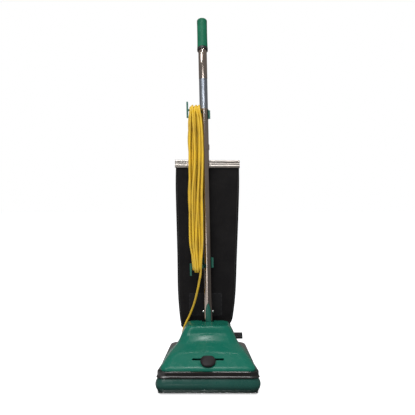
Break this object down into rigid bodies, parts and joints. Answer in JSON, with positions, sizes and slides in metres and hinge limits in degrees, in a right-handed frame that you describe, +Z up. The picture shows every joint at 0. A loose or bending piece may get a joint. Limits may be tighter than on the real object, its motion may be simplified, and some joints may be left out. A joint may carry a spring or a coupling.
{
  "type": "upright vacuum cleaner",
  "caption": "Upright floor vacuum: low motor base with brush roll and height slide, leaning chromed tube handle, cloth bag, and a cord wound on hooks.",
  "frame": {"origin": "on the floor, below the middle of the machine's outline", "axes": "+Z up along the handle, +X to the machine's right side as seen from the front of the nozzle, +Y from the nozzle towards the bag and the user"},
  "size_m": [0.325, 0.3499, 1.2266],
  "materials": {
    "green_hood_plastic": "semi-gloss moulded plastic",
    "green_housing": "satin moulded plastic",
    "green_grip_rubber": "satin vinyl grip",
    "black_plastic": "satin moulded plastic",
    "black_vinyl": "soft vinyl extrusion",
    "black_rubber": "matte rubber",
    "chromed_steel": "bright chrome plate",
    "zinc_steel": "satin zinc plate",
    "bright_steel": "turned steel",
    "wound_copper": "enamelled windings on a steel core",
    "carbon_block": "sintered carbon",
    "beech_wood": "turned and varnished wood",
    "black_bristle": "packed nylon tufts",
    "black_bag_cloth": "tightly woven cloth",
    "yellow_cord_jacket": "vinyl cord jacket"
  },
  "bodies": {
    "base": {"base_housing": "green_housing", "bottom_plate": "chromed_steel", "brush_end_cap_left": "black_plastic", "brush_end_cap_right": "black_plastic", "furniture_guard": "black_vinyl", "drive_belt": "black_rubber", "motor_casing": "black_plastic", "motor_end_cap": "black_plastic", "motor_field": "wound_copper", "bearing_lower": "bright_steel", "bearing_upper": "bright_steel", "carbon_brush_left": "carbon_block", "carbon_brush_right": "carbon_block", "fan_chamber": "black_plastic", "fan_chamber_cover": "black_plastic", "exhaust_duct": "black_plastic", "motor_hood": "green_hood_plastic", "rear_axle_left": "bright_steel", "rear_axle_right": "bright_steel", "pedal_spring": "bright_steel", "switch_body": "black_plastic", "strain_relief": "black_rubber", "cord_tail": "yellow_cord_jacket", "handle_pin": "bright_steel", "bag_neck": "black_bag_cloth", "bag_clamp": "bright_steel"},
    "handle": {"handle_post": "green_hood_plastic", "handle_bolt": "bright_steel", "lower_tube": "chromed_steel", "handle_coupling": "zinc_steel", "upper_tube": "chromed_steel", "grip_collar": "black_plastic", "grip": "green_grip_rubber", "upper_cord_hook": "green_hood_plastic", "lower_cord_hook": "green_hood_plastic", "cord_hank": "yellow_cord_jacket", "plug": "black_plastic", "bag": "black_bag_cloth", "bag_bar": "chromed_steel", "bag_hook": "zinc_steel", "bag_spring": "bright_steel"},
    "motor_rotor": {"motor_shaft": "bright_steel", "armature": "wound_copper", "cooling_fan": "black_plastic", "suction_fan": "black_plastic"},
    "brush_roll": {"brush_core": "beech_wood", "bristle_strip_a": "black_bristle", "bristle_strip_b": "black_bristle", "brush_shaft": "bright_steel"},
    "height_adjuster": {"height_knob": "black_plastic", "height_slide": "black_plastic"},
    "wheel_carriage": {"wheel_carriage": "bright_steel"},
    "front_wheel_left": {"front_wheel_left": "black_rubber"},
    "front_wheel_right": {"front_wheel_right": "black_rubber"},
    "rear_wheel_left": {"rear_wheel_left": "black_rubber"},
    "rear_wheel_right": {"rear_wheel_right": "black_rubber"},
    "release_pedal": {"release_pedal": "black_plastic"},
    "power_switch": {"power_switch": "black_plastic"},
    "plate_latch_left": {"plate_latch_left": "zinc_steel"},
    "plate_latch_right": {"plate_latch_right": "zinc_steel"}
  },
  "joints": [
    {"name": "handle_recline", "type": "hinge", "parent": "base", "child": "handle", "pos_m": [0, 0.095, 0.085], "axis": [-1, 0, 0], "range_deg": [0, 80], "deforming": ["bag_neck", "cord_tail"]},
    {"name": "motor_spin", "type": "hinge", "parent": "base", "child": "motor_rotor", "pos_m": [0, 0.03, 0.1], "axis": [0, 0, 1], "continuous": true},
    {"name": "brush_spin", "type": "hinge", "parent": "base", "child": "brush_roll", "pos_m": [0, -0.13, 0.031], "axis": [1, 0, 0], "continuous": true},
    {"name": "height_slide", "type": "slide", "parent": "base", "child": "height_adjuster", "axis": [1, 0, 0], "range_m": [-0.024, 0.024]},
    {"name": "front_axle_lift", "type": "slide", "parent": "base", "child": "wheel_carriage", "axis": [0, 0, 1], "range_m": [-0.004, 0.004]},
    {"name": "front_wheel_left_spin", "type": "hinge", "parent": "wheel_carriage", "child": "front_wheel_left", "pos_m": [-0.0565, -0.074, 0.022], "axis": [1, 0, 0], "continuous": true},
    {"name": "front_wheel_right_spin", "type": "hinge", "parent": "wheel_carriage", "child": "front_wheel_right", "pos_m": [0.0565, -0.074, 0.022], "axis": [1, 0, 0], "continuous": true},
    {"name": "rear_wheel_left_spin", "type": "hinge", "parent": "base", "child": "rear_wheel_left", "pos_m": [-0.1045, 0.122, 0.038], "axis": [1, 0, 0], "continuous": true},
    {"name": "rear_wheel_right_spin", "type": "hinge", "parent": "base", "child": "rear_wheel_right", "pos_m": [0.1045, 0.122, 0.038], "axis": [1, 0, 0], "continuous": true},
    {"name": "pedal_press", "type": "hinge", "parent": "base", "child": "release_pedal", "pos_m": [0.069, 0.1, 0.088], "axis": [-1, 0, 0], "range_deg": [0, 10], "stiffness_Nm_per_rad": 1.5, "springref_deg": -17.19},
    {"name": "switch_rock", "type": "hinge", "parent": "base", "child": "power_switch", "pos_m": [-0.1045, 0.119, 0.0975], "axis": [0, 1, 0], "range_deg": [0, 17]},
    {"name": "left_latch_turn", "type": "hinge", "parent": "base", "child": "plate_latch_left", "pos_m": [-0.1, -0.095, 0.0057], "axis": [0, 0, 1], "range_deg": [0, 90]},
    {"name": "right_latch_turn", "type": "hinge", "parent": "base", "child": "plate_latch_right", "pos_m": [0.1, -0.095, 0.0057], "axis": [0, 0, -1], "range_deg": [0, 90]}
  ],
  "couplings": [
    {"joint": "brush_spin", "follows": "motor_spin", "ratio": 0.6992},
    {"joint": "front_axle_lift", "follows": "height_slide", "ratio": -0.16667}
  ]
}
